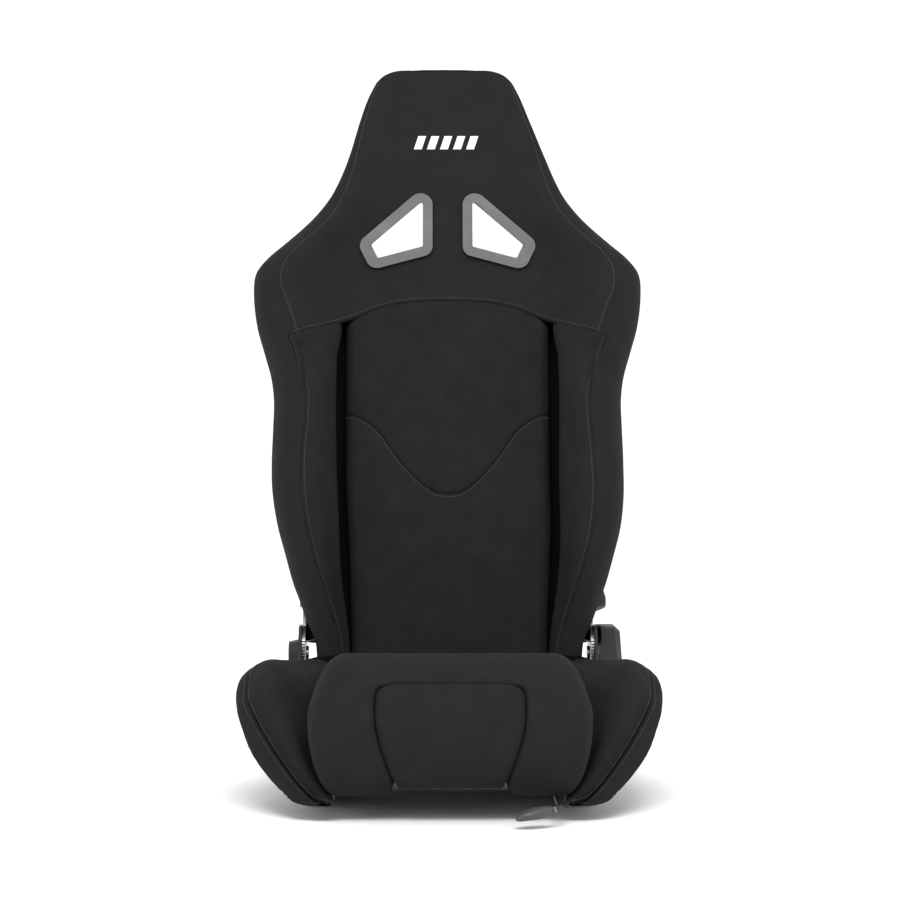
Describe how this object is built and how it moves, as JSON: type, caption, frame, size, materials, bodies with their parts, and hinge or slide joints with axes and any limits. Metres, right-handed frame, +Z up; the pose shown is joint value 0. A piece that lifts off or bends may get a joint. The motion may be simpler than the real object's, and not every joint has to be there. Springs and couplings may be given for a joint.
{
  "type": "reclining racing seat",
  "caption": "Reclining sports bucket seat with a fixed head, paired belt slots, deep side bolsters, floor slider rails and release levers.",
  "frame": {"origin": "centre of the rectangle of four floor bolts, on the underside of the two floor rails", "axes": "+Z up, -Y the way the sitter faces, +X the sitter's left, which is the side with both release levers"},
  "size_m": [0.514, 0.751, 0.9286],
  "materials": {
    "upholstery_fabric": "fine woven black polyester over foam",
    "upholstery_insert": "slightly coarser black mesh fabric over foam",
    "rear_cover": "fabric covered board",
    "moulded_plastic": "fine grained moulded",
    "black_steel": "black powder coat",
    "zinc_steel": "zinc plated",
    "spring_steel": "oiled wire"
  },
  "bodies": {
    "floor_rails": {"rail_lower_left": "zinc_steel", "rail_lower_right": "zinc_steel"},
    "ball_cage_left": {"ball_cage_left": "moulded_plastic"},
    "ball_cage_right": {"ball_cage_right": "moulded_plastic"},
    "seat_base": {"rail_upper_left": "zinc_steel", "rail_upper_right": "zinc_steel", "rail_bolts": "zinc_steel", "base_side_member_left": "black_steel", "base_side_member_right": "black_steel", "base_cross_tubes": "black_steel", "seat_springs": "spring_steel", "recliner_plate_left": "black_steel", "recliner_plate_right": "black_steel", "pivot_bolts": "zinc_steel", "pawl_pins": "zinc_steel", "plate_bolts": "zinc_steel", "latch_brackets": "black_steel", "latch_springs": "spring_steel", "recliner_cover": "moulded_plastic", "cover_screws": "zinc_steel", "hinge_cap_right": "moulded_plastic", "recliner_spiral_spring": "spring_steel", "seat_front_panel": "upholstery_insert", "seat_cushion": "upholstery_fabric", "seat_bolster_left": "upholstery_fabric", "seat_bolster_right": "upholstery_fabric"},
    "backrest": {"recliner_arm_left": "zinc_steel", "recliner_arm_right": "zinc_steel", "arm_bolts": "zinc_steel", "arm_trim_left": "moulded_plastic", "back_upright_left": "black_steel", "back_upright_right": "black_steel", "back_top_hoop": "black_steel", "back_cross_tubes": "black_steel", "back_springs": "spring_steel", "back_insert_upper": "upholstery_insert", "back_insert_lower": "upholstery_insert", "back_bolster_left": "upholstery_fabric", "back_bolster_right": "upholstery_fabric", "back_head_pad": "upholstery_fabric", "back_shoulder_pad_left": "upholstery_fabric", "back_shoulder_pad_right": "upholstery_fabric", "back_rear_cover": "rear_cover", "slot_bezel_left": "moulded_plastic", "slot_bezel_right": "moulded_plastic", "slot_bezel_rear_left": "moulded_plastic", "slot_bezel_rear_right": "moulded_plastic"},
    "recline_lever": {"recliner_cross_shaft": "zinc_steel", "recline_lever": "black_steel", "recline_grip": "moulded_plastic"},
    "pawl_left": {"recliner_pawl_left": "zinc_steel"},
    "pawl_right": {"recliner_pawl_right": "zinc_steel"},
    "slider_lever": {"slider_release_rod": "black_steel", "slider_release_collar": "zinc_steel", "slider_release_grip": "moulded_plastic", "slider_latch_left": "zinc_steel"},
    "latch_right": {"slider_latch_right": "zinc_steel", "latch_pivot_right": "zinc_steel"},
    "latch_link": {"latch_link": "zinc_steel"}
  },
  "joints": [
    {"name": "seat_slide", "type": "slide", "parent": "floor_rails", "child": "seat_base", "axis": [0, -1, 0], "range_m": [-0.1375, 0.0125]},
    {"name": "cage_slide_left", "type": "slide", "parent": "floor_rails", "child": "ball_cage_left", "axis": [0, -1, 0], "range_m": [-0.06875, 0.00625]},
    {"name": "cage_slide_right", "type": "slide", "parent": "floor_rails", "child": "ball_cage_right", "axis": [0, -1, 0], "range_m": [-0.06875, 0.00625]},
    {"name": "recline", "type": "hinge", "parent": "seat_base", "child": "backrest", "pos_m": [0, 0.1275, 0.15], "axis": [-1, 0, 0], "range_deg": [-20, 65]},
    {"name": "recline_release", "type": "hinge", "parent": "seat_base", "child": "recline_lever", "pos_m": [0, 0.0665, 0.107], "axis": [-1, 0, 0], "range_deg": [0, 25], "stiffness_Nm_per_rad": 2, "springref_deg": -28.65},
    {"name": "pawl_swing_left", "type": "hinge", "parent": "seat_base", "child": "pawl_left", "pos_m": [0.1855, 0.0733, 0.1405], "axis": [-1, 0, 0], "range_deg": [0, 2.5]},
    {"name": "pawl_swing_right", "type": "hinge", "parent": "seat_base", "child": "pawl_right", "pos_m": [-0.1855, 0.0733, 0.1405], "axis": [-1, 0, 0], "range_deg": [0, 2.5]},
    {"name": "slide_release", "type": "hinge", "parent": "seat_base", "child": "slider_lever", "pos_m": [0.12, -0.0625, 0.022], "axis": [0, 1, 0], "range_deg": [0, 30], "stiffness_Nm_per_rad": 1.5, "springref_deg": -28.65},
    {"name": "latch_turn_right", "type": "hinge", "parent": "seat_base", "child": "latch_right", "pos_m": [-0.12, -0.0625, 0.022], "axis": [0, 1, 0], "range_deg": [0, 30]},
    {"name": "link_pivot", "type": "hinge", "parent": "slider_lever", "child": "latch_link", "pos_m": [0.12, -0.0425, 0.011], "axis": [0, 1, 0], "range_deg": [-30, 0]}
  ],
  "couplings": [
    {"joint": "cage_slide_left", "follows": "seat_slide", "ratio": 0.5},
    {"joint": "cage_slide_right", "follows": "seat_slide", "ratio": 0.5},
    {"joint": "pawl_swing_left", "follows": "recline_release", "ratio": 0.1},
    {"joint": "pawl_swing_right", "follows": "recline_release", "ratio": 0.1},
    {"joint": "latch_turn_right", "follows": "slide_release", "ratio": 1},
    {"joint": "link_pivot", "follows": "slide_release", "ratio": -1}
  ]
}
